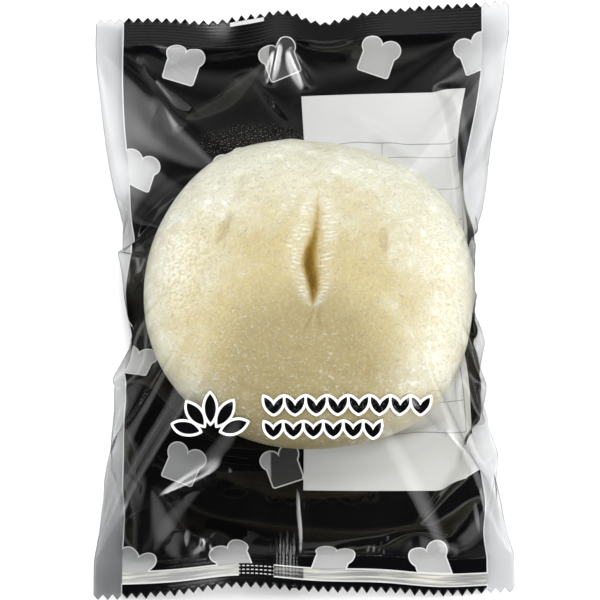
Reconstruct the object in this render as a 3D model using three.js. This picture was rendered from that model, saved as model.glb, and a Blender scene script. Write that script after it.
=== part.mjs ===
// A bagel sealed in a clear pillow bag with zigzag ends, lying on its back seam.
// The bag is one shut solid: the film, the air in it and the bagel together.
// Millimetres. +X runs across the bag, +Y along it to its top seal, +Z up from the table.
import * as THREE from "three";

// Film and seals
const FILM_WIDTH = 140; // flat width of the film tube
const SEAL_DEPTH = 12; // height of each crimped end seal
const SEAL_THICKNESS = 1.2;
const TEETH = 44; // zigzag teeth along each end
const TOOTH_DEPTH = 1.8;

// The inner edge of each seal, where the filled part starts: its left and right ends, how
// much further up the bag the right end is, how far the middle bows up the bag, its height
// at the ends, the lift of its middle and right end, and how far its band leans outwards
const BOTTOM = {
  left: -68.3, right: 69.4, y: -93.2, climb: 3, bow: -0.2,
  height: 2.6, lift: 4.5, rightLift: 0, lean: 0.1,
};
const TOP = {
  left: -69.6, right: 69.6, y: 93.4, climb: 4.4, bow: -2,
  height: 5.2, lift: 7, rightLift: 2, lean: 0.3,
};

// Waves in the seals, each by its middle and width along the film and its size:
// up the bag, up from the table (humps), and in the lean
BOTTOM.waves = [[50, 20, 1.2], [115, 16, -1.2]];
BOTTOM.humps = [[50, 20, 2.5], [95, 18, 1.5]];
BOTTOM.leans = [[48, 16, -0.15], [100, 25, 0.18]];
TOP.waves = [[44, 15, -3.2], [64, 6, 1.4], [78, 8, -2]];
TOP.humps = [];
TOP.leans = [[50, 12, -0.3], [80, 14, 0.2], [140, 40, -0.2]];

// The filled part
const BAGEL = { y: -4.3, top: 44.8 }; // film height over the middle of the bagel
const WAIST = { y: -5, pinch: 13, power: 2.4 }; // where the sides draw in, and how far
const LEFT_REACH = { above: 48, below: 58 }; // how far the waist reaches along each side
const RIGHT_REACH = { above: 68, below: 64 };
const FOLD_RISE = 10.8; // how far the side folds lift over the line between the seals
const UNDERSIDE_DROP = 25; // depth of the back web, which the table flattens

// How the crown falls off towards each seal: its reach from the bagel's middle, how long it
// stays level near the bagel, and how softly it runs out
const DOME_ABOVE = { reach: 77, near: 2.4, far: 1.4 };
const DOME_BELOW = { reach: 84.5, near: 3.7, far: 2.8 };
const ROUNDNESS = { seal: 1.6, bagel: 2.5 }; // of the cross-section

// Mesh fineness
const COLUMNS = 2 * TEETH;
const ROWS = 22;
const TO_THE_SIDES = 0.8; // how much closer columns stand at the round sides
const TO_THE_SEALS = 0.4; // how much closer rows stand at the seals

const lerp = THREE.MathUtils.lerp;
const arch = (share) => Math.sin(Math.PI * share);
const eased = (share) => 0.5 - 0.5 * Math.cos(Math.PI * share);

// The sum of a list of waves at a share of the way across the bag
function wavesAt(list, across) {
  const u = across * FILM_WIDTH;
  return list.reduce((sum, [at, width, size]) => sum + size * Math.exp(-(((u - at) / width) ** 2)), 0);
}

// A point of a seal's inner edge, and the lean of its band there
function sealAt(seal, across) {
  return {
    x: lerp(seal.left, seal.right, across),
    y: seal.y + seal.climb * across ** 2 + seal.bow * arch(across) + wavesAt(seal.waves, across),
    z: seal.height + seal.lift * arch(across) + seal.rightLift * across ** 3,
    hump: wavesAt(seal.humps, across),
    lean: seal.lean + wavesAt(seal.leans, across),
  };
}

// How far a side draws in at the waist
function pinchAt(y, reach) {
  const away = Math.abs(y - WAIST.y) / (y > WAIST.y ? reach.above : reach.below);
  return WAIST.pinch * Math.exp(-(away ** WAIST.power));
}

// Where a side fold runs, at a share of the way up the filled part
function foldAt(share, side, reach) {
  const low = sealAt(BOTTOM, side);
  const high = sealAt(TOP, side);
  const inwards = side ? -1 : 1;
  return lerp(low.x, high.x, share) + inwards * pinchAt(lerp(low.y, high.y, share), reach);
}

// The crown's height over the folds, as a share of its highest
function domeAt(y) {
  const away = y - BAGEL.y;
  const { reach, near, far } = away > 0 ? DOME_ABOVE : DOME_BELOW;
  return (1 - Math.min(Math.abs(away) / reach, 1) ** near) ** far;
}

// The cross-section's height, from 1 in its middle to 0 at the folds
function sectionAt(sideways, swell) {
  const power = lerp(ROUNDNESS.seal, ROUNDNESS.bagel, swell);
  return (1 - Math.min(Math.abs(sideways), 1) ** power) ** (1 / power);
}

const middleHeight = lerp(sealAt(BOTTOM, 0.5).z, sealAt(TOP, 0.5).z, 0.5) + FOLD_RISE;
const crownRise = BAGEL.top - middleHeight - SEAL_THICKNESS / 2;

// A point of the filled part, on its front or back web
function bodyPoint(column, row, front) {
  const share = lerp(row / ROWS, eased(row / ROWS), TO_THE_SEALS);
  const swell = arch(share);
  const even = column / COLUMNS;
  const across = lerp(even, eased(even), TO_THE_SIDES * swell);
  const low = sealAt(BOTTOM, across);
  const high = sealAt(TOP, across);
  const left = foldAt(share, 0, LEFT_REACH);
  const right = foldAt(share, 1, RIGHT_REACH);
  const y = lerp(low.y, high.y, share);
  const hump = lerp(low.hump, high.hump, share) * (1 - swell);
  const middle = lerp(low.z, high.z, share) + hump + FOLD_RISE * swell ** 0.8;
  const section = sectionAt(2 * across - 1, swell);
  const rise = SEAL_THICKNESS / 2 + crownRise * domeAt(y) * section;
  const drop = SEAL_THICKNESS / 2 + UNDERSIDE_DROP * swell ** 0.6 * section;
  return [lerp(left, right, across), y, front ? middle + rise : Math.max(0, middle - drop)];
}

// A point of a seal's zigzag outer edge, on its front or back web
function edgePoint(column, seal, outwards, front) {
  const { x, y, z, hump, lean } = sealAt(seal, column / COLUMNS);
  const depth = column % 2 ? SEAL_DEPTH : SEAL_DEPTH - TOOTH_DEPTH;
  const half = front ? SEAL_THICKNESS / 2 : -SEAL_THICKNESS / 2;
  const height = Math.max(z + hump - depth * Math.sin(lean), SEAL_THICKNESS);
  return [x, y + outwards * depth * Math.cos(lean), height + half];
}

// One ring round the bag: the front web from left to right, then the back web home
function ring(pointAt) {
  const points = [];
  for (let column = 0; column <= COLUMNS; column++) points.push(pointAt(column, true));
  for (let column = COLUMNS; column >= 0; column--) points.push(pointAt(column, false));
  return points;
}

// All rings, from the bottom edge up the bag
function allRings() {
  const rings = [ring((column, front) => edgePoint(column, BOTTOM, -1, front))];
  for (let row = 0; row <= ROWS; row++) {
    rings.push(ring((column, front) => bodyPoint(column, row, front)));
  }
  rings.push(ring((column, front) => edgePoint(column, TOP, 1, front)));
  return rings;
}

// The walls between neighbouring rings
function wallIndices(ringCount, size) {
  const indices = [];
  for (let row = 0; row < ringCount - 1; row++) {
    for (let i = 0; i < size; i++) {
      const a = row * size + i;
      const b = row * size + ((i + 1) % size);
      indices.push(a, b, a + size, b, b + size, a + size);
    }
  }
  return indices;
}

// The thin zigzag end face of one ring, from its front web to its back web
function endIndices(first, size, atTop) {
  const indices = [];
  for (let column = 0; column < COLUMNS; column++) {
    const front = first + column;
    const back = first + size - 1 - column;
    if (atTop) indices.push(front, front + 1, back, front + 1, back - 1, back);
    else indices.push(front, back, front + 1, front + 1, back, back - 1);
  }
  return indices;
}

function bagGeometry() {
  const rings = allRings();
  const size = rings[0].length;
  const geometry = new THREE.BufferGeometry();
  const positions = new Float32Array(rings.flat(2));
  geometry.setAttribute("position", new THREE.BufferAttribute(positions, 3));
  geometry.setIndex([
    ...wallIndices(rings.length, size),
    ...endIndices(0, size, false),
    ...endIndices((rings.length - 1) * size, size, true),
  ]);
  return geometry;
}

// Puts the middle of the bag's outline over the origin
function centre(geometry) {
  geometry.computeBoundingBox();
  const middle = geometry.boundingBox.getCenter(new THREE.Vector3());
  geometry.translate(-middle.x, -middle.y, 0);
  geometry.computeVertexNormals();
}

const geometry = bagGeometry();
centre(geometry);
const film = new THREE.MeshStandardMaterial({ color: 0x2b2b2e, roughness: 0.15 });
const bag = new THREE.Mesh(geometry, film);
bag.name = "bag";

const part = new THREE.Group();
part.add(bag);
export default part;
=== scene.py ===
"""A bagel sealed in a clear pillow bag with a dark printed back web, lying on its back.

Lengths are in millimetres in the bag's frame until a mesh is made, which is in metres.
"""

import math
from types import SimpleNamespace as Sizes

import bmesh
import bpy
import numpy as np
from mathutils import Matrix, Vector


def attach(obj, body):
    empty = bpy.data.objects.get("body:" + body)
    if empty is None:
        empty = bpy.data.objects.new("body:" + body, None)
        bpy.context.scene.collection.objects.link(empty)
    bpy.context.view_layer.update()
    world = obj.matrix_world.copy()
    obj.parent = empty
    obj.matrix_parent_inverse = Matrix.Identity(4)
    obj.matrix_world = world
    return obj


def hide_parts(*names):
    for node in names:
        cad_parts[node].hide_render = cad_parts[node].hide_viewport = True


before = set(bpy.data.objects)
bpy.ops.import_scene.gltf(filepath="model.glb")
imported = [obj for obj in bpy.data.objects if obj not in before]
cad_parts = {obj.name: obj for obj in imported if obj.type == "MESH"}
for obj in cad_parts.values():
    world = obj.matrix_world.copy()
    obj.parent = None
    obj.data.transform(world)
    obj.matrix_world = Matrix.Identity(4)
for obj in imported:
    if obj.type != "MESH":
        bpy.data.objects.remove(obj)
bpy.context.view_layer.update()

MM = 0.001

# Film and seals, as in the CAD source
FILM_WIDTH = 140.0
SEAL_DEPTH = 12.0
TEETH = 44
TOOTH_DEPTH = 1.8
BOTTOM = Sizes(
    outwards=-1, left=-68.3, right=69.4, y=-93.2, climb=3.0, bow=-0.2,
    height=2.6, lift=4.5, right_lift=0.0, lean=0.1,
    waves=[(50, 20, 1.2), (115, 16, -1.2)], humps=[(50, 20, 2.5), (95, 18, 1.5)],
    leans=[(48, 16, -0.15), (100, 25, 0.18)],
)
TOP = Sizes(
    outwards=1, left=-69.6, right=69.6, y=93.4, climb=4.4, bow=-2.0,
    height=5.2, lift=7.0, right_lift=2.0, lean=0.3,
    waves=[(44, 15, -3.2), (64, 6, 1.4), (78, 8, -2.0)], humps=[],
    leans=[(50, 12, -0.3), (80, 14, 0.2), (140, 40, -0.2)],
)
FILM_LENGTH = 220.0  # flat, from tip to tip of its teeth
LOWEST_SEAL = 0.7  # least height of the seals over the table

# Bagel: its middle, half widths, height over and under its widest line, and how square it is
BAGEL = Sizes(
    x=1.9, y=-5.3, half_x=54.8, half_y=54.4, up=22.5, down=21.0, plan_power=2.06, side_power=2.3,
)
# Where it bulges out of round: direction in degrees from +X, breadth in degrees, share of its size
BULGES = [(118, 24, 0.045), (96, 4, 0.012), (38, 24, 0.04), (-45, 22, 0.05)]
BAGEL_REST = 0.8  # height of its underside over the table
FILM_REST = 0.3

# Where the side folds draw in round the bagel, and how far that reaches, as in the CAD source
WAIST = Sizes(y=-5.0, pinch=13.0, power=2.4)
LEFT_REACH = Sizes(above=48, below=58)
RIGHT_REACH = Sizes(above=68, below=64)

# How the film settles
GRAVITY = 0.0015
BAG_VOLUME = 520.0  # millilitres, with the bagel
START_VOLUME = 30.0  # what the air in it aims at first
START_SHARE = 0.03  # of the bagel's height and of the seals' way, at the start
START_GAP = 2.2  # between the webs of the flat tube
PRESSURE_GAIN = 8
STIFFNESS = 0.05
MOST_PUSH = 3.0  # how far the bagel moves the film at once
WEB_GAP = 0.3  # least gap between the two webs
SIDE_PULL = 0.01  # share of the way to its line that a side fold goes in one step
SIDE_BREADTH = 6.0  # how far from the fold that pull reaches
SIM_SEAL_ROWS = 3
CUBIC_MM = 1000  # in a millilitre


def cos_sin(degrees):
    return math.cos(math.radians(degrees)), math.sin(math.radians(degrees))


def bell(away):
    """A smooth bump, 1 in its middle and about a third at a distance of 1."""
    return np.exp(-(away**2))


def waves(u, bumps):
    """The sum of smooth bumps, each given by its middle, width and size."""
    return sum(size * bell((u - at) / width) for at, width, size in bumps)


def seal_band(seal, u, depths):
    """Points of a seal at places u across the film and at depths out from its inner edge."""
    across = u / FILM_WIDTH
    y = seal.y + seal.climb * across**2 + seal.bow * np.sin(np.pi * across) + waves(u, seal.waves)
    z = seal.height + seal.lift * np.sin(np.pi * across) + seal.right_lift * across**3
    z = z + waves(u, seal.humps)
    lean = seal.lean + waves(u, seal.leans)
    step = np.sqrt(np.maximum(np.diff(u) ** 2 - np.diff(y) ** 2 - np.diff(z) ** 2, 0.01))
    run = np.concatenate([[0.0], np.cumsum(step)])
    x = seal.left + (seal.right - seal.left) * run / run[-1]
    inner = np.stack([x, y, z], axis=1)
    outwards = np.stack([0 * lean, seal.outwards * np.cos(lean), -np.sin(lean)], axis=1)
    band = inner + np.asarray(depths)[:, None, None] * outwards
    band[..., 2] = np.maximum(band[..., 2], LOWEST_SEAL)
    return band


def fold_line(y, side):
    """Where the left (0) or right (1) side fold runs at places y along the bag."""
    reach = RIGHT_REACH if side else LEFT_REACH
    away = np.abs(y - WAIST.y) / np.where(y > WAIST.y, reach.above, reach.below)
    pinch = WAIST.pinch * np.exp(-(away**WAIST.power))
    low, high = (BOTTOM.right, TOP.right) if side else (BOTTOM.left, TOP.left)
    share = np.clip((y - BOTTOM.y) / (TOP.y - BOTTOM.y), 0, 1)
    return low + (high - low) * share + (-pinch if side else pinch)


def plan_share(x, y, margin=0.0):
    """How far out a place is in the bagel's plan, from 0 in its middle to 1 at its rim."""
    return (np.abs(x / (BAGEL.half_x - margin)) ** BAGEL.plan_power
            + np.abs(y / (BAGEL.half_y - margin)) ** BAGEL.plan_power)


def bulge(x, y):
    """How much further out the dough reaches in a direction than a plain round would."""
    direction = np.degrees(np.arctan2(y, x))
    reach = 1.0
    for at, breadth, size in BULGES:
        away = (direction - at + 180) % 360 - 180
        reach = reach + size * bell(away / breadth)
    return reach


def flat_tube(rows, columns):
    """The film as a flat tube: columns go round it, along the front web and back along the other."""
    half = columns // 2
    around = np.arange(columns) * (2 * FILM_WIDTH / columns)
    on_front = around < FILM_WIDTH
    points = np.zeros((rows, columns, 3))
    points[..., 0] = np.where(on_front, around, 2 * FILM_WIDTH - around) - FILM_WIDTH / 2
    points[..., 1] = np.linspace(-FILM_LENGTH / 2, FILM_LENGTH / 2, rows)[:, None]
    gap = START_GAP * np.abs(np.sin(np.pi * around / FILM_WIDTH)) ** 0.3
    points[..., 2] = FILM_REST + np.where(on_front & (np.arange(columns) % half > 0), gap, 0)
    return points


def refined(points):
    """The same film on a grid twice as fine, by smooth interpolation."""
    rows, columns, _ = points.shape

    def between(a, b, c, d):
        return (9 * (b + c) - a - d) / 16

    wide = np.empty((rows, 2 * columns, 3))
    wide[:, 0::2] = points
    wide[:, 1::2] = between(*(np.roll(points, k, axis=1) for k in (1, 0, -1, -2)))
    fine = np.empty((2 * rows - 1, 2 * columns, 3))
    fine[0::2] = wide
    ends = np.concatenate([2 * wide[:1] - wide[1:2], wide, 2 * wide[-1:] - wide[-2:-1]])
    fine[1::2] = between(ends[:-3], ends[1:-2], ends[2:-1], ends[3:])
    return fine


def outward(points):
    """The film's outward direction at each point, and the area that the point stands for."""
    round_it = np.roll(points, -1, 1) - np.roll(points, 1, 1)
    normal = np.cross(round_it, np.gradient(points, axis=0))
    size = np.maximum(np.linalg.norm(normal, axis=2, keepdims=True), 1e-9)
    return normal / size, size / 2


def pull_together(a, b, rest):
    """Moves each pair of points, in place, towards its resting distance."""
    gap = b - a
    length = np.sqrt(np.einsum("...i,...i->...", gap, gap))
    gap *= (0.5 - 0.5 * rest / np.maximum(length, 1e-6))[..., None]
    a += gap
    b -= gap


class Film:
    """A tube of film that settles round the bagel, its two ends held as the seals."""

    def __init__(self, points, seal_rows):
        self.points = np.ascontiguousarray(points)
        self.speed = np.zeros_like(self.points)
        self.rows, self.columns, _ = points.shape
        self.half = self.columns // 2
        self.across = 2 * FILM_WIDTH / self.columns
        self.along = (FILM_LENGTH - 2 * SEAL_DEPTH) / (self.rows - 1 - 2 * seal_rows)
        self.front = np.arange(1, self.half)
        self.back = self.columns - self.front
        self.bands = [self.held_band(seal, seal_rows) for seal in (BOTTOM, TOP)]

    def held_band(self, seal, seal_rows):
        """The rows that a seal holds, and where they are at the start and at the end."""
        u = np.linspace(0, FILM_WIDTH, self.half + 1)
        depths = np.arange(seal_rows + 1) * (SEAL_DEPTH / seal_rows)
        end = seal_band(seal, u, depths)
        start = np.zeros_like(end)
        start[..., 0] = u - FILM_WIDTH / 2
        start[..., 1] = (FILM_LENGTH / 2 - SEAL_DEPTH + depths[:, None]) * seal.outwards
        start[..., 2] = FILM_REST + 1
        inner_row = seal_rows if seal is BOTTOM else self.rows - 1 - seal_rows
        rows = inner_row + seal.outwards * np.arange(seal_rows + 1)
        there_and_back = np.concatenate([np.arange(self.half + 1), np.arange(self.half - 1, 0, -1)])
        return rows, start[:, there_and_back], end[:, there_and_back]

    def hold_seals(self, share):
        for rows, start, end in self.bands:
            self.points[rows] = start + share * (end - start)

    def keep_width(self):
        for first in (0, 1):
            a = np.arange(first, self.columns, 2)
            b = (a + 1) % self.columns
            left, right = self.points[:, a], self.points[:, b]
            pull_together(left, right, self.across)
            self.points[:, a], self.points[:, b] = left, right

    def keep_length(self):
        """Holds each row to the next, straight up and along both diagonals."""
        diagonal = math.hypot(self.across, self.along)
        for shift, rest in ((0, self.along), (1, diagonal), (-1, diagonal)):
            for first in (0, 1):
                a = np.arange(first, self.rows - 1, 2)
                low = self.points[a]
                high = np.roll(self.points[a + 1], -shift, axis=1)
                pull_together(low, high, rest)
                self.points[a] = low
                self.points[a + 1] = np.roll(high, shift, axis=1)

    def stiffen(self):
        """Smooths the film a little, but not across its side folds."""
        p = self.points
        round_it = (4 * (np.roll(p, 1, 1) + np.roll(p, -1, 1)) - np.roll(p, 2, 1) - np.roll(p, -2, 1)) / 6
        free = np.ones(self.columns)
        for fold in (0, self.half):
            free[[(fold + k) % self.columns for k in (-1, 0, 1)]] = 0
        p += STIFFNESS * free[None, :, None] * (round_it - p)
        along_it = (4 * (p[1:-3] + p[3:-1]) - p[:-4] - p[4:]) / 6
        p[2:-2] += STIFFNESS * (along_it - p[2:-2])

    def draw_in_sides(self):
        """Pulls the side folds gently towards the lines that they follow."""
        for side, fold in ((0, 0), (1, self.half)):
            line = self.points[:, fold]
            pull = SIDE_PULL * (fold_line(line[:, 1], side) - line[:, 0])
            reach = int(SIDE_BREADTH / self.across)
            for k in range(-reach, reach + 1):
                share = math.cos(math.pi / 2 * k * self.across / SIDE_BREADTH) ** 2
                self.points[:, (fold + k) % self.columns, 0] += share * pull

    def push_off_bagel(self, scale):
        """Moves film that is inside the bagel out to its skin."""
        p = self.points
        middle = np.array([BAGEL.x, BAGEL.y, BAGEL_REST + BAGEL.down * scale])
        q = p - middle
        height = np.where(q[..., 2] > 0, BAGEL.up, BAGEL.down) * scale
        ratio = BAGEL.side_power / BAGEL.plan_power
        q[..., :2] /= bulge(q[..., 0], q[..., 1])[..., None]
        plan = plan_share(q[..., 0], q[..., 1])
        inside = (plan < 1) & (np.abs(q[..., 2]) < height)
        q, plan, height = q[inside], np.maximum(plan[inside], 1e-9), height[inside]
        rise = np.abs(q[:, 2]) / height
        total = plan**ratio + rise**BAGEL.side_power
        level = total ** (1 / BAGEL.side_power)
        common = total ** (1 / BAGEL.side_power - 1)
        radial = common * plan ** (ratio - 1)
        slope = np.stack([
            radial * np.abs(q[:, 0] / BAGEL.half_x) ** (BAGEL.plan_power - 1) / BAGEL.half_x,
            radial * np.abs(q[:, 1] / BAGEL.half_y) ** (BAGEL.plan_power - 1) / BAGEL.half_y,
            common * rise ** (BAGEL.side_power - 1) / height,
        ], axis=1) * np.sign(q)
        push = (np.maximum(1 - level, 0) / np.maximum((slope**2).sum(1), 1e-9))[:, None] * slope
        reach = np.linalg.norm(push, axis=1)
        push *= (np.minimum(reach, MOST_PUSH) / np.maximum(reach, 1e-9))[:, None]
        p[inside] += push

    def keep_out(self, scale):
        """Keeps the film off the bagel, the table and its own other web."""
        self.push_off_bagel(scale)
        p = self.points
        crossed = np.minimum(p[:, self.front, 2] - p[:, self.back, 2] - WEB_GAP, 0)
        p[:, self.front, 2] -= 0.5 * crossed
        p[:, self.back, 2] += 0.5 * crossed
        np.maximum(p[..., 2], FILM_REST, out=p[..., 2])

    def settle(self, steps, pressure, grow=0, damping=0.05):
        """Runs the film. The bagel and the seals reach their places over the first grow steps."""
        for step in range(steps):
            scale = min(1.0, START_SHARE + (1 - START_SHARE) * (step + 1) / grow) if grow else 1.0
            before = self.points.copy()
            self.speed *= 1 - damping
            self.points += self.speed
            self.points[..., 2] -= GRAVITY
            normal, area = outward(self.points)
            volume = (self.points * normal * area).sum() / (3 * CUBIC_MM)
            wanted = START_VOLUME + (BAG_VOLUME - START_VOLUME) * scale
            push = np.clip(pressure * (1 - volume / wanted) * PRESSURE_GAIN, -pressure, pressure)
            self.points += normal * push
            self.draw_in_sides()
            for _ in range(3):
                self.keep_width()
                self.keep_length()
                self.keep_out(scale)
                self.hold_seals(scale)
            self.stiffen()
            self.keep_out(scale)
            self.hold_seals(scale)
            self.speed = self.points - before
        return self.points


def settled_film():
    """The film round the bagel, from a coarse grid to a fine one."""
    tube = flat_tube(rows=55, columns=56)
    coarse = Film(tube, SIM_SEAL_ROWS).settle(steps=500, pressure=0.004, grow=300)
    middle = Film(refined(coarse), 2 * SIM_SEAL_ROWS).settle(steps=250, pressure=0.003)
    fine = Film(refined(middle), 4 * SIM_SEAL_ROWS)
    return fine.settle(steps=120, pressure=0.002, damping=0.15)


# The film's mesh
COLUMNS = 8 * TEETH  # round the tube: four to a tooth on each web
COLUMN_STEP = 2 * FILM_WIDTH / COLUMNS
SEAL_ROWS = 14
BODY_ROWS = 216
TOOTH_CURL = 1.2  # how far the tips of the teeth bend up at most
WEBS_APART = 0.12  # half the gap between the webs inside the seals
# The back seam's flap, folded to the left: where it starts and ends across the film, how far its
# two layers part, how far it lies off the back web, and its least height over the table
FIN = Sizes(seam=69.8, edge=58.6, gap=0.3, off=0.08, lowest=0.02)


def resampled(points, places, wrap):
    """Smooth interpolation along the first axis, at fractional places."""
    count = len(points)
    first = np.floor(places).astype(int)
    t = (places - first)[:, None, None]

    def neighbour(k):
        return points[(first + k) % count] if wrap else points[np.clip(first + k, 0, count - 1)]

    a, b, c, d = (neighbour(k) for k in (-1, 0, 1, 2))
    return b + 0.5 * t * (c - a + t * (2 * a - 5 * b + 4 * c - d + t * (3 * (b - c) + d - a)))


def film_rows():
    """Distance of each row from the bottom edge of the film, before its teeth are cut."""
    seal = np.linspace(0, SEAL_DEPTH, SEAL_ROWS, endpoint=False)
    body = np.linspace(SEAL_DEPTH, FILM_LENGTH - SEAL_DEPTH, BODY_ROWS)
    return np.concatenate([seal, body, FILM_LENGTH - seal[::-1]])


def sim_row_at(v, rows):
    """The simulation's row, as a fraction, at a distance v up the film."""
    seal_rows = 4 * SIM_SEAL_ROWS
    known_v = [0, SEAL_DEPTH, FILM_LENGTH - SEAL_DEPTH, FILM_LENGTH]
    return np.interp(v, known_v, [0, seal_rows, rows - 1 - seal_rows, rows - 1])


# Folds in the front web, in flat film coordinates: both ends, half breadth at each end, height,
# and how many times broader the side to the right of its run is than the side to the left
FOLDS = [
    ((14.9, 203.0), (28.0, 165.0), 0.8, 3.0, 1.4, 1.0),
    ((26.2, 200.5), (31.0, 192.5), 1.0, 1.6, 0.6, 1.5),
    ((49.5, 196.0), (63.5, 161.0), 3.2, 4.5, 2.0, 1.2),
    ((61.6, 206.0), (58.4, 190.0), 1.3, 1.6, 1.5, 1.0),
    ((65.8, 204.5), (71.5, 187.0), 1.8, 2.2, 1.8, 1.0),
    ((9.0, 27.0), (46.0, 41.0), 2.2, 3.4, 2.1, 0.35),
    ((7.5, 21.5), (29.5, 32.0), 1.0, 1.0, 0.5, 1.0),
    ((0.5, 18.0), (6.4, 37.0), 1.0, 1.2, 0.5, 1.0),
    ((68.4, 35.0), (70.3, 11.0), 1.0, 2.4, 1.2, 0.6),
    ((29.8, 22.5), (30.2, 12.0), 1.2, 1.6, 0.7, 1.0),
    ((36.0, 20.0), (39.3, 11.5), 1.0, 1.4, 0.9, 1.0),
    ((103.0, 64.0), (137.0, 36.0), 1.0, 1.5, 1.0, 3.0),
    ((93.0, 19.5), (91.5, 11.0), 0.9, 0.9, 0.6, 1.0),
    ((97.0, 19.5), (95.0, 11.0), 0.9, 0.9, 0.6, 1.0),
    ((129.0, 34.0), (130.5, 11.0), 1.4, 2.0, 0.9, 1.0),
    ((106.0, 12.5), (118.0, 16.0), 1.2, 1.6, 0.7, 1.0),
]


def folds_at(u, v):
    """How far the folds lift the front web at places on the flat film, and how sharp they are."""
    height = np.zeros_like(v)
    sharp = np.zeros_like(v)
    for start, end, first, last, size, lopsided in FOLDS:
        run = np.subtract(end, start)
        length = np.hypot(*run)
        along = ((u - start[0]) * run[0] + (v - start[1]) * run[1]) / length**2
        off = ((u - start[0]) * run[1] - (v - start[1]) * run[0]) / length
        breadth = (first + (last - first) * along) * np.where(off > 0, lopsided, 1)
        ends = np.sqrt(np.clip(4 * along * (1 - along), 0, 1))
        breadth = np.maximum(breadth, 0.5)
        share = ends * bell(off / breadth)
        height += size * share
        sharp += np.sqrt(share) * np.minimum(size / breadth, 1) ** 2
    return height, np.clip(sharp, 0, 1)


def cut_teeth(points, v):
    """Draws the seals' rows in from the zigzag ends, and bends the tips of the teeth a little."""
    random = np.random.default_rng(11)
    tooth = np.abs((np.arange(COLUMNS) % 4) / 2 - 1)  # 1 in a notch, 0 at a tip
    from_edge = np.arange(SEAL_ROWS)[:, None] / SEAL_ROWS
    cut = TOOTH_DEPTH * tooth * (1 - from_edge)
    bottom_rows, top_rows = slice(0, SEAL_ROWS), slice(-1, -SEAL_ROWS - 1, -1)
    for rows, inner, up in ((bottom_rows, SEAL_ROWS, 1), (top_rows, -SEAL_ROWS - 1, -1)):
        inwards = (points[inner] - points[rows][0]) / SEAL_DEPTH
        points[rows] += inwards * cut[..., None]
        v[rows] += up * cut
        curl = TOOTH_CURL * random.uniform(0, 1, COLUMNS // 4).repeat(4) * (1 - tooth)
        edge = points[rows][0]
        edge[:, 2] = np.maximum(edge[:, 2] - up * curl, FILM_REST)


def film_points():
    """The film's mesh points, rows up the bag by columns round it, with v and fold sharpness."""
    sim = settled_film()
    v = np.repeat(film_rows()[:, None], COLUMNS, axis=1)
    column = np.arange(COLUMNS)
    rows = resampled(sim, sim_row_at(film_rows(), len(sim)), wrap=False)
    points = resampled(rows.swapaxes(0, 1), column * (sim.shape[1] / COLUMNS), wrap=True)
    points = points.swapaxes(0, 1)
    cut_teeth(points, v)
    around = column * COLUMN_STEP
    lift, sharp = (part * (around < FILM_WIDTH) for part in folds_at(around, v))
    return points + lift[..., None] * outward(points)[0], v, sharp


def tube_faces(rows, columns):
    """Quads of a tube whose two ends are shut by welding its webs together along their edge."""
    half = columns // 2

    def index(row, column):
        column = column % columns
        if row in (0, rows - 1) and column > half:
            column = columns - column
        return row * columns + column

    return [
        (index(row, column), index(row, column + 1), index(row + 1, column + 1), index(row + 1, column))
        for row in range(rows - 1) for column in range(columns)
    ]


def separate_webs(points, v):
    """Sets the welded webs a hair apart inside the seals, so that one always covers the other."""
    in_seal = (v < SEAL_DEPTH + 2) | (v > FILM_LENGTH - SEAL_DEPTH - 2)
    in_seal[[0, -1]] = False
    side = np.ones(COLUMNS)
    side[COLUMNS // 2:] = -1
    side[[0, COLUMNS // 2]] = 0
    points[..., 2] += WEBS_APART * side * in_seal


def add_object(name, data):
    thing = bpy.data.objects.new(name, data)
    bpy.context.scene.collection.objects.link(thing)
    return thing


def new_piece(name, points, faces, material):
    """A smooth mesh from points in millimetres."""
    mesh = bpy.data.meshes.new(name)
    mesh.from_pydata((np.asarray(points) * MM).tolist(), [], faces)
    mesh.materials.append(material)
    mesh.polygons.foreach_set("use_smooth", [True] * len(mesh.polygons))
    mesh.update()
    return add_object(name, mesh)


def add_attributes(piece, attributes):
    """Gives a mesh one number a point under each name."""
    for name, values in attributes.items():
        layer = piece.data.attributes.new(name, "FLOAT", "POINT")
        layer.data.foreach_set("value", values.ravel().astype(np.float32))


def drop_loose_points(piece):
    """Removes points that no face uses."""
    work = bmesh.new()
    work.from_mesh(piece.data)
    bmesh.ops.delete(work, geom=[p for p in work.verts if not p.link_faces], context="VERTS")
    work.to_mesh(piece.data)
    work.free()


def clinging(points):
    """1 where the film lies on the bagel's upper side, falling to 0 off it and over the slit."""
    x, y = points[..., 0] - BAGEL.x, points[..., 1] - BAGEL.y
    height = dough_height(x, y, BAGEL.up)
    gap = points[..., 2] - (BAGEL_REST + BAGEL.down + height)
    off_slit = np.hypot((points[..., 0] - SLIT.x) / 4, (points[..., 1] - SLIT.y) / SLIT.half_length)
    near = np.clip(2 - gap, 0, 1) * (gap > -1) * (height > 5)
    return near * np.clip(off_slit * 2 - 1, 0, 1)


def make_fin(points, material):
    """The back seam's flap: a double strip of film that lies folded under the back web."""
    first, last = (round((2 * FILM_WIDTH - at) / COLUMN_STEP) for at in (FIN.seam, FIN.edge))
    web = points[:, first:last + 1]
    share = np.linspace(0, 1, last + 1 - first)[:, None]
    off = outward(points)[0][:, first:last + 1]
    upper = web + off * (FIN.off + 0.4 * FIN.gap * share)
    lower = web + off * (FIN.off + FIN.gap * np.sqrt(share))
    rows, across = web.shape[:2]
    ring = np.concatenate([upper, lower[:, ::-1]], axis=1)
    ring[..., 2] = np.maximum(ring[..., 2], FIN.lowest)
    size = 2 * across
    faces = [*ring_faces(rows, size), tuple(range(size))]
    return new_piece("back_fin", ring.reshape(-1, 3), faces, material)


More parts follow.
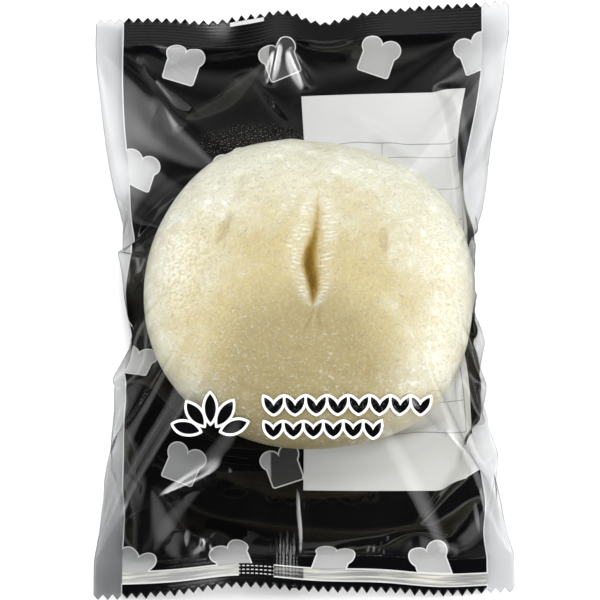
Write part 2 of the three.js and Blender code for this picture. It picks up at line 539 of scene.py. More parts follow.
def make_film(points, v, surface, material):
    rows = len(points)
    faces = tube_faces(rows, COLUMNS)
    piece = new_piece("film", points.reshape(-1, 3), faces, material)
    corner_rows = np.repeat(np.arange(rows - 1), COLUMNS)
    corner_columns = np.tile(np.arange(COLUMNS), rows - 1)
    uv = []
    for down, right in ((0, 0), (0, 1), (1, 1), (1, 0)):
        row, column = corner_rows + down, corner_columns + right
        uv.append(np.stack([column / COLUMNS, v[row, column % COLUMNS] / FILM_LENGTH], axis=1))
    layer = piece.data.uv_layers.new(name="OFBake")
    layer.data.foreach_set("uv", np.stack(uv, axis=1).astype(np.float32).ravel())
    add_attributes(piece, surface)
    drop_loose_points(piece)
    return piece


# The bagel's mesh
RINGS_ON_TOP = 160
RINGS_BELOW = 50
ROUND = 400
BAGEL_MARGIN = 0.6  # how far the bagel's skin stands inside the film

# The puckered slit in the middle of the top, where the hole has closed
SLIT = Sizes(x=4.1, y=3.6, half_length=21.2, slant=0.045, bow=-2.4, bow_y=0.2, bow_width=7.5)
PUCKER = Sizes(depth=4.2, breadth=6.5, at=-0.25, spread=0.75)
GROOVE = Sizes(depth=1.7, breadth=1.7, at=-0.36, spread=0.56)
# Fine folds that run out from it: how many round it, how far they slant, where they are highest
WRINKLES = Sizes(counts=range(60, 116, 4), slant=1.3, at=4.4, spread=3.0, height=0.14)
# A paler ring round the slit: painted light, laid on with the crests
HALO = Sizes(at=4.6, spread=3.4, share=0.22)  # a paler ring round it
LUMPS = Sizes(broad=0.42, small=0.15, sink=0.8)
CREASE_DEPTH = 1.5
# Painted shade in each crease, for each unit of its depth
CREASE_PAINTED_SHADE = 0.07

# Short creases and dents: middle, half length, half breadth, turn from +Y in degrees, depth
CREASES = [
    (-26.0, 11.2, 5.5, 1.2, 24, 1.5), (26.6, 6.4, 4.5, 1.1, -5, 1.2), (17.8, -5.0, 3.5, 1.6, 20, 0.4),
    (20.5, -39.3, 4.0, 1.8, 5, 0.6), (9.7, -38.8, 2.0, 1.5, 0, 0.4), (-25.0, -34.8, 3.5, 2.5, 60, 0.5),
    (-1.8, -33.8, 1.4, 2.6, 0, 0.6), (5.3, -21.4, 4.0, 0.7, 2, 0.6), (1.6, -23.4, 5.5, 0.7, 22, 0.6),
    (-21.0, 28.2, 5.0, 1.5, 12, 0.4), (-34.0, -5.8, 4.0, 2.0, 30, 0.4), (33.0, -15.8, 5.0, 1.6, -30, 0.4),
    (-38.0, 14.0, 3.0, 1.2, 10, 0.4), (38.0, 16.0, 4.0, 1.4, -20, 0.4), (-12.0, 33.0, 3.0, 1.6, 60, 0.3),
]


def dough_height(x, y, rise):
    """Height of the plain dough over its widest line, at places relative to its middle."""
    reach = bulge(x, y)
    plan = plan_share(x / reach, y / reach, BAGEL_MARGIN)
    ratio = BAGEL.side_power / BAGEL.plan_power
    return (rise - BAGEL_MARGIN) * np.maximum(1 - plan**ratio, 0) ** (1 / BAGEL.side_power)


def lumps(x, y, seed, shortest, longest):
    """Waves in random directions with lengths between two limits, about -1 to 1."""
    random = np.random.default_rng(seed)
    total = 0
    for _ in range(24):
        direction, phase = random.uniform(0, 2 * np.pi, 2)
        length = random.uniform(shortest, longest)
        along = x * math.cos(direction) + y * math.sin(direction)
        total = total + np.sin(2 * np.pi * along / length + phase)
    return total / 24**0.5


def crease_shares(x, y):
    """For each crease, its depth and how much of it is felt at each place."""
    for at_x, at_y, half_length, half_breadth, turn, depth in CREASES:
        c, s = cos_sin(turn)
        across = (x - at_x) * c - (y - at_y) * s
        along = (x - at_x) * s + (y - at_y) * c
        yield depth, np.exp(-((across / half_breadth) ** 2) - (along / half_length) ** 4)


def wrinkles(theta, reach, x, y):
    """Fine folds that run straight out from the slit, stronger in some places than in others."""
    random = np.random.default_rng(7)
    fine = 0
    for count in WRINKLES.counts:
        slant, phase = random.uniform(-WRINKLES.slant, WRINKLES.slant), random.uniform(0, 2 * np.pi)
        fine = fine + np.sin(count * theta + slant * reach + phase)
    ends = np.where(np.sin(theta) > 0, np.abs(np.cos(theta)) ** 0.7, np.abs(np.cos(theta)) ** 0.2)
    patchy = np.clip(0.9 + 0.6 * lumps(x, y, 3, 3, 7), 0.2, None)
    near = bell((reach - WRINKLES.at) / WRINKLES.spread)
    return fine / len(WRINKLES.counts) ** 0.5 * near * ends * patchy


def slit_bend(y):
    """How far the slit's line runs to the right at a place along the bag."""
    return SLIT.slant * y + SLIT.bow * bell((y - SLIT.bow_y) / SLIT.bow_width)


def slit_dips(theta, reach):
    """Depths of the wide pucker and of the slit in it, and how brown they are, with painted shade on the
    slit's right wall.
    """
    along = np.sin(theta)
    pucker = np.exp(-((reach / PUCKER.breadth) ** 1.5))
    pucker = pucker * bell((along - PUCKER.at) / PUCKER.spread)
    open_share = np.exp(-(np.abs((along - GROOVE.at) / GROOVE.spread) ** 2.6))
    taper = np.where(along > 0, 1 - along**2, 1 - along**10)
    breadth = GROOVE.breadth * (0.5 + 0.5 * open_share)
    groove = bell(reach / breadth) * (0.2 + 0.8 * open_share) * taper
    # The brown reaches further to the right: painted shade on the slit's right wall
    brown_reach = (1.2 + 1.2 * open_share) * (1 + 0.3 * np.cos(theta))
    brown_and_painted_shade = np.exp(-((reach / brown_reach) ** 1.5)) * (0.55 + 0.45 * open_share) * taper
    return PUCKER.depth * pucker * taper**0.5, GROOVE.depth * groove, brown_and_painted_shade


def ring_places(share, theta, round_x, round_y):
    """Where a ring on the top runs, between the slit's line and the bagel's outline."""
    half_length = math.hypot(share * BAGEL.half_x, SLIT.half_length * (1 - share**2))
    tail = share**2
    from_slit_x = SLIT.x - BAGEL.x + share * BAGEL.half_x * np.cos(theta)
    from_slit_y = SLIT.y - BAGEL.y + half_length * np.sin(theta)
    from_slit_x += slit_bend(from_slit_y + BAGEL.y) * (1 - share) ** 2
    x = (1 - tail) * from_slit_x + tail * share * round_x
    y = (1 - tail) * from_slit_y + tail * share * round_y
    return x, y


def top_ring(share, theta, round_x, round_y):
    """A ring on the top, from the slit (0) to the rim (1), with how brown it is, painted shade in its
    slit and creases, and painted highlights on its crests.
    """
    x, y = ring_places(share, theta, round_x, round_y)
    reach = share * BAGEL.half_x
    pucker, groove, brown_and_painted_shade = slit_dips(theta, reach)
    folds = wrinkles(theta, reach, x, y) * (1 - brown_and_painted_shade) ** 2
    halo = bell((reach - HALO.at) / HALO.spread) * (1 - brown_and_painted_shade) ** 2
    # Painted highlights: the wrinkles' crests and a ring round the slit are coloured paler
    painted_crest_highlights = np.clip(folds - 0.15, 0, 0.6) + HALO.share * halo
    uneven = LUMPS.broad * lumps(x, y, 1, 16, 40) + LUMPS.small * lumps(x, y, 2, 4, 9) - LUMPS.sink
    z = dough_height(x, y, BAGEL.up) - pucker - groove + WRINKLES.height * folds
    z = z + (1 - share**8) * uneven
    for depth, felt in crease_shares(x + BAGEL.x, y + BAGEL.y):
        z = z - CREASE_DEPTH * depth * felt
        # Each crease darkens with painted shade, more where it is deeper
        brown_and_painted_shade = brown_and_painted_shade + CREASE_PAINTED_SHADE * depth * felt
    return np.stack([x, y, z], axis=1), brown_and_painted_shade, painted_crest_highlights


def bagel_rings():
    """Rings from the slit over the top, round the side and in underneath, with their browning, painted
    shade and painted highlights.
    """
    theta = np.arange(ROUND) * (2 * np.pi / ROUND)
    c, s = np.cos(theta), np.sin(theta)
    squareness = 2 / BAGEL.plan_power
    round_x = (BAGEL.half_x - BAGEL_MARGIN) * np.sign(c) * np.abs(c) ** squareness
    round_y = (BAGEL.half_y - BAGEL_MARGIN) * np.sign(s) * np.abs(s) ** squareness
    reach = bulge(round_x, round_y)
    round_x, round_y = round_x * reach, round_y * reach

    places = np.linspace(0.006, 1, RINGS_ON_TOP) ** 1.35
    rings = [top_ring(math.sin(place * math.pi / 2), theta, round_x, round_y) for place in places]
    for angle in np.linspace(0, np.pi / 2, RINGS_BELOW + 1)[1:]:
        share = max(math.cos(angle), 0.02)
        x, y = share * round_x, share * round_y
        z = -dough_height(x, y, BAGEL.down)
        rings.append((np.stack([x, y, z], axis=1), np.zeros(ROUND), np.zeros(ROUND)))
    points, brown_and_painted_shade, painted_crest_highlights = (np.array(part) for part in zip(*rings))
    points += [BAGEL.x, BAGEL.y, BAGEL_REST + BAGEL.down]
    return points, {"brown_and_painted_shade": brown_and_painted_shade, "painted_crest_highlights": painted_crest_highlights}


def slit_faces(size):
    """A strip of faces that closes the first ring, from one side of the slit to the other."""
    faces = []
    for i in range(-size // 4, size // 4):
        corners = (i % size, (i + 1) % size, (size // 2 - i - 1) % size, (size // 2 - i) % size)
        faces.append(tuple(dict.fromkeys(corners)))
    return faces


def ring_faces(rings, size):
    faces = []
    for row in range(rings - 1):
        for i in range(size):
            j = (i + 1) % size
            faces.append((row * size + i, (row + 1) * size + i, (row + 1) * size + j, row * size + j))
    faces.append(tuple((rings - 1) * size + i for i in reversed(range(size))))
    return faces


def math_method(operation):
    """A method that feeds the number and the method's arguments into a Math node."""
    return lambda self, *others: self.into(operation, *others)


class Number:
    """A number that varies over a surface: a node's output, with arithmetic that adds nodes."""

    def __init__(self, tree, socket):
        self.tree = tree
        self.socket = socket

    def into(self, operation, *others):
        node = self.tree.nodes.new("ShaderNodeMath")
        node.operation = operation
        for socket, value in zip(node.inputs, (self, *others)):
            feed(self.tree, socket, value)
        return Number(self.tree, node.outputs[0])

    __add__ = __radd__ = math_method("ADD")
    __sub__ = math_method("SUBTRACT")
    __mul__ = __rmul__ = math_method("MULTIPLY")
    __truediv__ = math_method("DIVIDE")
    __abs__ = math_method("ABSOLUTE")
    under = math_method("LESS_THAN")
    over = math_method("GREATER_THAN")
    most = math_method("MAXIMUM")
    least = math_method("MINIMUM")
    root = math_method("SQRT")
    power = math_method("POWER")

    def __neg__(self):
        return self * -1

    def __rsub__(self, other):
        return -self + other

    def clipped(self):
        return self.most(0).least(1)


def feed(tree, socket, value):
    """Links a node's output to a socket, or sets the socket's own value."""
    if isinstance(value, Number):
        tree.links.new(value.socket, socket)
    elif isinstance(value, bpy.types.NodeSocket):
        tree.links.new(value, socket)
    else:
        socket.default_value = value


class Nodes:
    """A material's nodes, added one call at a time."""

    def __init__(self, name):
        self.material = bpy.data.materials.new(name)
        self.material.use_nodes = True
        self.tree = self.material.node_tree
        self.tree.nodes.clear()

    def add(self, kind, inputs, **settings):
        node = self.tree.nodes.new("ShaderNode" + kind)
        for key, value in settings.items():
            setattr(node, key, value)
        for key, value in inputs.items():
            feed(self.tree, node.inputs[key], value)
        return node

    def number(self, socket):
        return Number(self.tree, socket)

    def attribute(self, name):
        """A number that the mesh holds at each of its points."""
        return self.number(self.add("Attribute", {}, attribute_name=name).outputs["Fac"])

    def x_and_y(self, place):
        split = self.add("SeparateXYZ", {"Vector": place})
        return self.number(split.outputs[0]), self.number(split.outputs[1])

    def scaled(self, place, scale, turn=0.0):
        inputs = {"Vector": place, "Scale": scale, "Rotation": (0, 0, turn)}
        return self.add("Mapping", inputs).outputs[0]

    def bump(self, distance, height):
        inputs = {"Strength": 1.0, "Distance": distance, "Height": height}
        return self.add("Bump", inputs).outputs[0]

    def noise(self, place, scale, detail=2.0, roughness=0.5):
        inputs = {"Vector": place, "Scale": scale, "Detail": detail, "Roughness": roughness}
        return self.number(self.add("TexNoise", inputs).outputs["Fac"])

    def mixed(self, share, first, second):
        """A colour between two colours."""
        node = self.add("Mix", {0: share}, data_type="RGBA")
        feed(self.tree, node.inputs[6], first)
        feed(self.tree, node.inputs[7], second)
        return node.outputs[2]

    def layered(self, colour, *layers):
        """A colour with others laid over it in turn, each to its own share."""
        for share, other in layers:
            colour = self.mixed(share, colour, other)
        return colour

    def mixed_shaders(self, share, first, second):
        node = self.add("MixShader", {0: share})
        self.tree.links.new(first, node.inputs[1])
        self.tree.links.new(second, node.inputs[2])
        return node.outputs[0]

    def finish(self, surface):
        output = self.tree.nodes.new("ShaderNodeOutputMaterial")
        self.tree.links.new(surface, output.inputs["Surface"])
        return self.material


# The print, in millimetres of flat film: u across from the left fold, v up from the bottom edge
FIELD = Sizes(left=9.5, right=130.7)
CLEAR_BAND = Sizes(v=7.3, fall=2.6, half=2.2)
PANEL = Sizes(left=69.6, right=126.0, bottom=40.5, top=188.0)
TABLE = Sizes(left=78.0, right=123.8, bottom=61.0, top=169.0)
TABLE_ROWS = (72.0, 86.0, 97.0, 108.0, 119.0, 130.0, 141.0, 152.5, 164.0)
TABLE_COLUMN = 96.0
SLICES = Sizes(pitch_u=33.0, pitch_v=38.0, start_u=0.1, start_v=0.22, tilt=20)
FRAME_HALF, RULE_HALF = 0.16, 0.12  # half the thickness of the table's lines
SEAL_PATCH = Sizes(left=48.5, right=60.0, dash_u=1.45, dash_v=1.33)
SEAL_MARK = Sizes(left=45.5, right=57.0, bottom=216.8, top=218.3)
OUTLINE = 0.4
FRONT_OUTLINE = 0.85
# The windows' white is partly the film's haze and partly painted light, standing in for the lit table
# seen through them
WINDOW_HAZE_AND_PAINTED_LIGHT = 0.55  # how much white the unprinted film inside the black field holds
RELIEF = Sizes(rib_pitch=1.3, rib=0.02, ripple=0.04, crease=0.45, blister=0.38)
PLEATS = Sizes(left=59.0, right=69.5, top=24.0, pitch=2.3, height=0.16)
SHINE = 0.055  # share of light that one layer of film reflects head on
FOLD_SHINE = 0.3  # how much more a sharp fold reflects, where the film lies double
FILM_CLEAR = (0.835, 0.84, 0.845, 1)
# The see-through film's colour where painted shade darkens it towards the lower left corner
FILM_PAINTED_SHADE = (0.6, 0.605, 0.61, 1)
WHITE = (1, 1, 1, 1)
INK_BLACK = (0.002, 0.002, 0.0025, 1)
INK_WHITE = (0.76, 0.76, 0.75, 1)
INK_PANEL = (0.74, 0.74, 0.72, 1)
INK_RULE = (0.3, 0.3, 0.3, 1)
# Painted shade laid over the windows and the clear band
INK_PAINTED_SHADE = (0.42, 0.42, 0.42, 1)
INK_CREAM = (0.8, 0.78, 0.66, 1)
INK_FLOUR = (0.3, 0.27, 0.19, 1)
INK_FIN = (0.012, 0.012, 0.013, 1)
DOUGH_MIDDLE = (0.61, 0.512, 0.267, 1)
DOUGH_RIM = (0.785, 0.765, 0.615, 1)
# Painted glints on the crust's blisters and crests
DOUGH_PAINTED_GLINT = (0.95, 0.94, 0.84, 1)
# Painted sheen in patches on the crust's pale flanks
DOUGH_PAINTED_SHEEN = (1.0, 1.0, 0.95, 1)
# Painted shade on the crust's lower side
DOUGH_PAINTED_SHADE = (0.4, 0.325, 0.155, 1)
# Browns of the slit and creases: partly the crust's own colour, partly painted shade
DOUGH_TAN = (0.47, 0.31, 0.05, 1)
DOUGH_BROWN = (0.18, 0.09, 0.004, 1)
# How fine the crust's patches and grain are, as scales of its noise
CRUST = Sizes(blotches=70.0, patches=85.0, wet=330.0, grain=420.0, blisters=760.0)


def distance_out(x, y):
    return (x * x + y * y).root()


def span_shape(place, low, high):
    """Distance from the nearer end of a span, less than 0 inside it."""
    return abs(place - (low + high) / 2) - (high - low) / 2


def box_shape(u, v, box):
    """Distance from a rectangle's edge, less than 0 inside it."""
    return span_shape(u, box.left, box.right).most(span_shape(v, box.bottom, box.top))


def grain_shape(x, y, at, half_width, half_length, turn):
    """Distance from the edge of a pointed grain, turned by an angle in degrees."""
    c, s = cos_sin(turn)
    x, y = x - at[0], y - at[1]
    across, along = x * c + y * s, y * c - x * s
    radius = (half_width**2 + half_length**2) / (2 * half_width)
    across = abs(across) + (radius - half_width)
    return distance_out(across, along) - radius


def slice_shape(x, y):
    """A slice of tin bread: a square with rounded corners and two lobes on top."""
    side = abs(x)
    body = distance_out((side - 4.6).most(0), (abs(y + 1.2) - 4.2).most(0)) - 1.0
    lobe = distance_out(side - 3.2, y - 3.4) - 3.6
    return body.least(lobe)


def scattered_slices(u, v):
    """Slices in a half-drop pattern, leaning left and right by turns."""
    up = v / SLICES.pitch_v + SLICES.start_v
    row = up.into("FLOOR")
    shifted = u / SLICES.pitch_u + row.into("MODULO", 2) * 0.5 + SLICES.start_u
    column = shifted.into("FLOOR")
    x = (shifted - column - 0.5) * SLICES.pitch_u
    y = (up - row - 0.5) * SLICES.pitch_v
    way = 1 - 2 * (row + column).into("MODULO", 2)
    c, s = cos_sin(SLICES.tilt)
    return slice_shape(x * c - y * way * s, x * way * s + y * c)


def sheaf_shape(x, y):
    """Five grains fanned out from one point."""
    side = abs(x)
    shape = grain_shape(side, y, (0, 4.5), 1.9, 4.6, 0)
    for turn in (36, 72):
        c, s = cos_sin(turn)
        shape = shape.least(grain_shape(side, y, (8.6 * s, 8.6 * c - 4.1), 1.9, 4.6, -turn))
    return shape


def sprout_row(u, v, left, count, pitch, middle, size):
    """A row of two-leaved sprouts."""
    nearest = ((u - left) / pitch).into("FLOOR").most(0).least(count - 1)
    x = u - left - (nearest + 0.5) * pitch
    return grain_shape(abs(x), v - middle, (0.42 * size, 0.1 * size), 0.36 * size, 0.95 * size, -32)


def front_shapes(u, v):
    """A fan of grains and two rows of sprouts, where a wrapper has its name."""
    shape = sheaf_shape(u - 38.5, v - 56.0)
    for left, count, pitch, middle, size in ((56.5, 8, 7.0, 60.8, 3.3), (56.5, 6, 6.6, 53.0, 3.0)):
        shape = shape.least(sprout_row(u, v, left, count, pitch, middle, size))
    return shape


def off_band(u, v):
    """Height over the middle of the clear band in the lower seal, which falls to the right."""
    return v - (CLEAR_BAND.v - CLEAR_BAND.fall * u / FILM_WIDTH)


def seal_marks(nodes, u, v):
    """The black patch with dashes in the lower seal and the white mark in the upper one."""
    up = off_band(u, v)
    patch = span_shape(u, SEAL_PATCH.left, SEAL_PATCH.right).most(abs(up) - CLEAR_BAND.half).under(0)
    row = ((up + 2) / SEAL_PATCH.dash_v).into("FRACT") - 0.5
    dash = (u / SEAL_PATCH.dash_u).into("FRACT") - 0.5
    dashes = abs(row).under(0.13) * abs(dash).under(0.3)
    white = box_shape(u, v, SEAL_MARK).under(0)
    return patch.most(white), nodes.mixed(white.most(dashes * patch), INK_BLACK, INK_PANEL)


def flour_specks(nodes, flat, u, v):
    """Fine flour on the inside of the back web, above the bagel."""
    across, along = (u - 53) / 20, (v - 172) / 7
    near = (1.3 - across * across - along * along).clipped()
    return (nodes.noise(flat, 2.1, detail=3.0) * 9 - 5.2).clipped() * near * 0.8


def table_rules(u, v):
    """The thin rules of the panel's empty table."""
    edge = box_shape(u, v, TABLE)
    rules = abs(u - TABLE_COLUMN)
    for height in TABLE_ROWS:
        rules = rules.least(abs(v - height))
    return abs(edge).under(FRAME_HALF).most(rules.under(RULE_HALF) * edge.under(0))


def painted_corner_shade(u, v):
    """How much painted shade darkens the film towards its lower left corner."""
    off_seal = (v / SEAL_DEPTH - 0.6).clipped().most(u.under(FIELD.left))
    return ((80 - v) / 60).clipped() * ((90 - u) / 60).clipped() * off_seal


def film_ink(nodes, u, v, off_back, painted_dimming):
    """The print's colour, with painted light and shade in its windows, and how far it covers the film.
    off_back is under 0 on the back web.
    """
    on_back = off_back.under(0)
    field = span_shape(u, FIELD.left, FIELD.right)
    band = abs(off_band(u, v)) - CLEAR_BAND.half
    panel = box_shape(u, v, PANEL)
    black = field.most(-scattered_slices(u, v).most(CLEAR_BAND.v - v)).most(-band)
    ink = black.least(panel).most(off_back)
    front = front_shapes(u, v).most(-off_back)
    outline = (ink.over(0) * ink.under(OUTLINE)).most(front.over(0) * front.under(FRONT_OUTLINE))
    on_panel, in_band = panel.under(0) * on_back, band.under(0)

    flat = nodes.add("CombineXYZ", {0: u, 1: v}).outputs[0]
    streaks = nodes.noise(nodes.scaled(flat, (0.05, 1.1, 1)), 1.0, detail=3.0)
    streaks = (streaks * 4 - 1.7).clipped() * in_band
    over_fin = span_shape(u, FIN.edge, FIN.seam).under(0)
    # White in the windows: partly haze, partly painted light for the table seen through them; less over
    # the fin
    haze_and_painted_light = WINDOW_HAZE_AND_PAINTED_LIGHT * (1 - over_fin * 0.85) + streaks * 0.4
    window = ink.over(OUTLINE) * field.under(0) * on_back * haze_and_painted_light
    marks, mark_colour = seal_marks(nodes, u, v)
    marks = marks * on_back
    # Painted shade on the windows: darker towards the lower left corner and in the clear band, more so to
    # the right
    shade = painted_dimming.most(in_band * (u / FILM_WIDTH * 0.5 + 0.6).least(1.0))

    in_window = window.over(0)
    pale = nodes.layered(INK_PANEL, (shade * in_window, INK_PAINTED_SHADE), (streaks * in_window, INK_CREAM))
    colour = nodes.layered(
        INK_BLACK, (on_panel.most(in_window), pale), (table_rules(u, v) * on_panel, INK_RULE),
        (front.under(0), INK_BLACK), (outline, INK_WHITE), (marks, mark_colour),
        (flour_specks(nodes, flat, u, v) * on_back, INK_FLOUR),
    )
    covered = ink.under(OUTLINE).most(front.under(FRONT_OUTLINE)).most(window).most(marks)
    return colour, covered


def film_relief(nodes, place, u, v):
    """Relief in millimetres: the seals' ribs, ripples, creases, blisters over the bagel, pleats."""
    in_seal = v.least(FILM_LENGTH - v).under(SEAL_DEPTH)
    ribs = (v * (2 * math.pi / RELIEF.rib_pitch)).into("SINE") * RELIEF.rib * in_seal
    flat = nodes.scaled(place, (2 * FILM_WIDTH, FILM_LENGTH, 1))
    ripples = nodes.noise(flat, 0.1, detail=1.0) * RELIEF.ripple
    slanted = nodes.scaled(place, (2 * FILM_WIDTH, FILM_LENGTH * 0.6, 1), turn=0.5)
    creases = abs(nodes.noise(slanted, 0.06, detail=1.5) - 0.5) * RELIEF.crease
    blisters = (nodes.noise(flat, 0.8, detail=2.0) * 4 - 1.9).clipped().power(2) * RELIEF.blister
    middle, breadth = (PLEATS.left + PLEATS.right) / 2, PLEATS.right - PLEATS.left
    pleated = (1.5 - abs(u - middle) * 2.8 / breadth).clipped()
    pleated = pleated * ((PLEATS.top - v) / 6).clipped() * (v / 3 - 1).clipped()
    pleats = (u * (2 * math.pi / PLEATS.pitch)).into("SINE") * pleated
    return ribs + ripples + creases + blisters * nodes.attribute("clinging") + pleats * PLEATS.height


def film_material():
    """Clear glossy film, with black and white ink printed on its back web."""
    nodes = Nodes("printed_film")
    place = nodes.add("UVMap", {}, uv_map="OFBake").outputs[0]
    around, v = nodes.x_and_y(place)
    around, v = around * (2 * FILM_WIDTH), v * FILM_LENGTH
    u = FILM_WIDTH - abs(around - FILM_WIDTH)
    # Painted shade: the film and its ink are darker towards the lower left corner
    painted_dimming = painted_corner_shade(u, v)
    colour, covered = film_ink(nodes, u, v, FILM_WIDTH - around, painted_dimming)

    facing = nodes.number(nodes.add("LayerWeight", {"Blend": 0.5}).outputs["Facing"])
    shine = facing.power(5) * 0.9 + SHINE + nodes.attribute("sharp_folds") * FOLD_SHINE
    ink = nodes.add("BsdfDiffuse", {"Color": colour})
    clear = nodes.add("BsdfTransparent", {"Color": nodes.mixed(painted_dimming, FILM_CLEAR, FILM_PAINTED_SHADE)})
    bump = nodes.bump(MM, film_relief(nodes, place, u, v))
    gloss = nodes.add("BsdfGlossy", {"Color": WHITE, "Roughness": 0.07, "Normal": bump})
    body = nodes.mixed_shaders(covered, clear.outputs[0], ink.outputs[0])
    return nodes.finish(nodes.mixed_shaders(shine, body, gloss.outputs[0]))


def crust_regions(nodes, place):
    """How much of the crust's rim colour there is, and how much painted shade darkens its lower side."""
    x, y = nodes.x_and_y(place)
    across, up, below = x / (52 * MM), (y + 22 * MM) / (52 * MM), (y + 44 * MM) / (30 * MM)
    blotches = nodes.noise(place, CRUST.blotches, detail=4.0, roughness=0.6) - 0.5
    pale = (distance_out(across, up) * 1.5 - 0.75 + blotches * 1.6).clipped()
    # Painted shade on the lower side, which gets less light
    lower = (1.5 - below * below - across * across * 3.2 + blotches).clipped() * 0.9
    return pale, lower


def dough_material():
    """Pale smooth crust, a little glossy, deeper yellow in the middle and browner in its folds, with
    painted shade on its lower side and in its folds and painted highlights on its crests, blisters and
    flanks.
    """
    nodes = Nodes("dough")
    place = nodes.add("TexCoord", {}).outputs["Object"]
    pale, lower = crust_regions(nodes, place)
    brown_and_painted_shade = nodes.attribute("brown_and_painted_shade")
    grain = nodes.noise(place, CRUST.grain, detail=4.0, roughness=0.65)
    blisters = (nodes.noise(place, CRUST.blisters) * 7 - 3.7).clipped().power(2)
    patchy = (nodes.noise(place, CRUST.patches) * 5 - 1.9).clipped()
    outside_slit = (1 - brown_and_painted_shade * 4).clipped()
    # Painted glints: paler specks on the blisters, most on the pale flanks, none in the slit
    painted_blister_glints = blisters * (patchy * (pale * 0.7 + 0.2) + 0.1) * outside_slit
    # Painted sheen: whiter patches on the pale flanks, where light would glint
    wet = (nodes.noise(place, CRUST.wet, detail=3.0, roughness=0.6) * 8 - 4.2).clipped()
    colour = nodes.layered(
        DOUGH_MIDDLE, (pale, DOUGH_RIM), (lower, DOUGH_PAINTED_SHADE), ((brown_and_painted_shade * 1.7).clipped(), DOUGH_TAN),
        ((brown_and_painted_shade * 1.5 - 0.5).clipped(), DOUGH_BROWN), (nodes.attribute("painted_crest_highlights"), DOUGH_PAINTED_GLINT),
        (painted_blister_glints, DOUGH_PAINTED_GLINT), (wet * pale * patchy * 0.7, DOUGH_PAINTED_SHEEN),
    )
    shader = nodes.add("BsdfPrincipled", {
        "Base Color": colour, "Roughness": 0.3,
        "Normal": nodes.bump(0.6 * MM, grain + blisters * 0.4),
    })
    return nodes.finish(shader.outputs[0])


def fin_material():
    """Black printed film with crimped ribs across it."""
    nodes = Nodes("fin_film")
    place = nodes.add("TexCoord", {}).outputs["Object"]
    y = nodes.x_and_y(place)[1]
    ribs = (y * (2 * math.pi / (RELIEF.rib_pitch * MM))).into("SINE")
    dull = nodes.noise(place, 90.0, detail=3.0)
    shader = nodes.add("BsdfPrincipled", {
        "Base Color": nodes.mixed(dull, INK_BLACK, INK_FIN),
        "Roughness": dull * 0.2 + 0.1, "Normal": nodes.bump(0.03 * MM, ribs),
    })
    return nodes.finish(shader.outputs[0])


def floor_material():
    nodes = Nodes("floor")
    shader = nodes.add("BsdfPrincipled", {"Base Color": (0.9, 0.9, 0.9, 1), "Roughness": 0.9})
    return nodes.finish(shader.outputs[0])


def make_camera():
    target = Vector((-0.8, -2.0, 5)) * MM
    level, up = cos_sin(66.5)
    distance = 2.6
    camera = add_object("camera", bpy.data.cameras.new("camera"))
    camera.data.lens = 470.3
    camera.data.sensor_width = 36
    camera.data.clip_end = 20
    back = Vector((0, -level, up))
    camera.location = target + back * distance
    camera.rotation_euler = (-back).to_track_quat("-Z", "Y").to_euler()
    bpy.context.scene.camera = camera


def make_light(name, azimuth, elevation, distance, size, power):
    """A soft box aimed at the bag. Azimuth 0 is the camera's side and 90 is the right."""
    (front, right), (level, up) = cos_sin(azimuth), cos_sin(elevation)
    towards = Vector((right * level, -front * level, up))
    light = bpy.data.lights.new(name, "AREA")
    light.shape = "RECTANGLE"
    light.size, light.size_y = size
    light.energy = power
    lamp = add_object(name, light)
    lamp.location = towards * distance
    lamp.rotation_euler = towards.to_track_quat("Z", "Y").to_euler()
    lamp.visible_glossy = False


# The strength of the light tent's parts, and the power of the lamps
WALL_LIGHT = 2.1
PATCH_LIGHT = 3.3
LEFT_PATCH = Sizes(across=-0.66, along=0.45, up=0.6, start=0.87, fade=0.13)
RIGHT_PATCH = Sizes(across=0.74, along=0.33, up=0.58, start=0.86, fade=0.14)
BACK_LIGHT = 0.12
TOP_LIGHT = 0.02
VEIL_LIGHT = 0.36
LAMP_POWER = 65.0
FRONT_POWER = 26.0


def patch_light(patch, across, along, up):
    """Light that is strongest where a patch is aimed, and fades out round there."""
    towards = up * patch.up + along * patch.along + across * patch.across
    return ((towards - patch.start) / patch.fade).clipped().power(2)


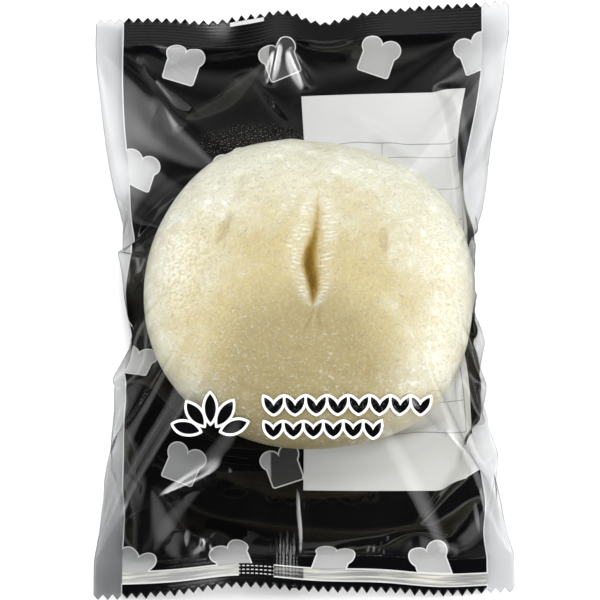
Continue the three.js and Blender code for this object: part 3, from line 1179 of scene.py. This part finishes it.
def studio_world():
    """A light tent: bright walls and patches left and right, a faint veil behind, dark above."""
    world = bpy.data.worlds.new("studio")
    world.use_nodes = True
    tree = world.node_tree
    split = tree.nodes.new("ShaderNodeSeparateXYZ")
    tree.links.new(tree.nodes.new("ShaderNodeTexCoord").outputs["Generated"], split.inputs[0])
    across, along, up = axes = [Number(tree, split.outputs[i]) for i in range(3)]
    walls = ((abs(across) - 0.6) / 0.3).clipped() * (0.75 - along * 0.55).clipped()
    walls = walls * (across * 0.2 + 1) * (up * 3 + 1).clipped()
    patches = patch_light(LEFT_PATCH, *axes) + patch_light(RIGHT_PATCH, *axes) * 0.8
    behind = ((along - 0.45) / 0.4).clipped() * (1 - up * 3).clipped()
    veil = ((along - 0.43) / 0.3).clipped() * (up * 2.5 - 0.5).clipped()
    strength = walls * WALL_LIGHT + patches * PATCH_LIGHT + behind * BACK_LIGHT + veil * VEIL_LIGHT
    background = tree.nodes["Background"]
    background.inputs["Color"].default_value = WHITE
    feed(tree, background.inputs["Strength"], strength + TOP_LIGHT)
    bpy.context.scene.world = world


def make_stage():
    floor = add_object("floor", bpy.data.meshes.new("floor"))
    half = 3.0
    corners = [(-half, -half, 0), (half, -half, 0), (half, half, 0), (-half, half, 0)]
    floor.data.from_pydata(corners, [], [(0, 1, 2, 3)])
    floor.data.materials.append(floor_material())
    floor.visible_glossy = False  # so that the film doesn't mirror it
    studio_world()
    bpy.context.scene.view_settings.view_transform = "Standard"
    make_light("overhead", 150, 76, 2.2, (2.4, 2.4), LAMP_POWER)
    make_light("front", 0, 40, 2.0, (2.0, 1.0), FRONT_POWER)


points, film_v, sharp_folds = film_points()
separate_webs(points, film_v)
low, high = points.min((0, 1)), points.max((0, 1))
shift = np.array([-(low[0] + high[0]) / 2, -(low[1] + high[1]) / 2, 0])
surface = {"clinging": clinging(points), "sharp_folds": sharp_folds}
film = make_film(points + shift, film_v, surface, film_material())
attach(film, "root")
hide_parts("bag")

fin = make_fin(points + shift, fin_material())
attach(fin, "root")

skin, crust = bagel_rings()
skin += shift
bagel_faces = [*slit_faces(ROUND), *ring_faces(len(skin), ROUND)]
bagel = new_piece("bagel", skin.reshape(-1, 3), bagel_faces, dough_material())
add_attributes(bagel, crust)
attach(bagel, "root")

make_stage()
make_camera()
